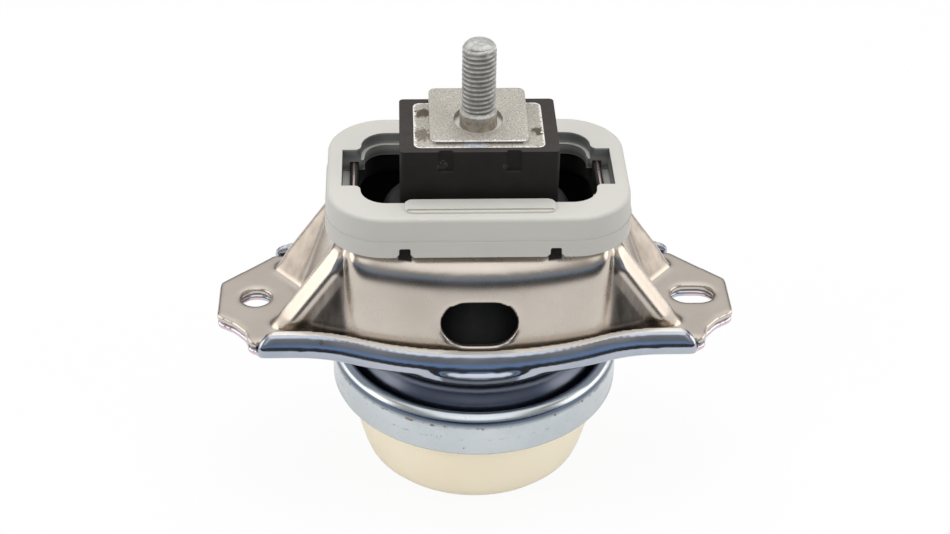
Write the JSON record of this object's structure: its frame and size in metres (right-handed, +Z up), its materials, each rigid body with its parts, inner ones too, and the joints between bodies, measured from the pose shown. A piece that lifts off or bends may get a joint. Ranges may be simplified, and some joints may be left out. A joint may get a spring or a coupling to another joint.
{
  "type": "hydraulic engine mount",
  "caption": "Hydraulic engine mount: pressed steel housing with two bolt-on wings, rubber-bonded core with an upright threaded stud, crimp ring and plastic bowl.",
  "frame": {"origin": "middle of the bowl's flat base, on the stud's axis", "axes": "+Z up along the stud, X along the two wings (round hole at -X, slot at +X), -Y towards the side the seat slopes down to"},
  "size_m": [0.1898, 0.1062, 0.1714],
  "materials": {
    "zinc_steel": "zinc plated, satin",
    "cast_aluminium": "cast and blasted, fine grain",
    "block_rubber": "moulded, matt",
    "stop_rubber": "moulded, matt",
    "collar_plastic": "moulded, slightly satin",
    "housing_steel": "pressed sheet, warm nickel tint, satin",
    "blue_zinc_steel": "pressed sheet, blue zinc, satin",
    "ring_steel": "rolled sheet, pale blue zinc",
    "bowl_plastic": "moulded, cream",
    "spring_rubber": "moulded, matt",
    "sleeve_steel": "bare pressed steel",
    "seal_rubber": "moulded, matt",
    "channel_aluminium": "die cast"
  },
  "bodies": {
    "root": {"stud": "zinc_steel", "core": "cast_aluminium", "stop_buffer": "block_rubber", "rebound_stop": "stop_rubber", "limiter_collar": "collar_plastic", "upper_housing": "housing_steel", "lower_plate": "blue_zinc_steel", "crimp_ring": "ring_steel", "bowl": "bowl_plastic", "main_spring": "spring_rubber", "spring_sleeve": "sleeve_steel", "flange_gasket": "seal_rubber", "channel_upper": "channel_aluminium", "channel_lower": "channel_aluminium", "decoupler_membrane": "seal_rubber", "diaphragm": "seal_rubber", "diaphragm_ring": "sleeve_steel"}
  },
  "joints": []
}
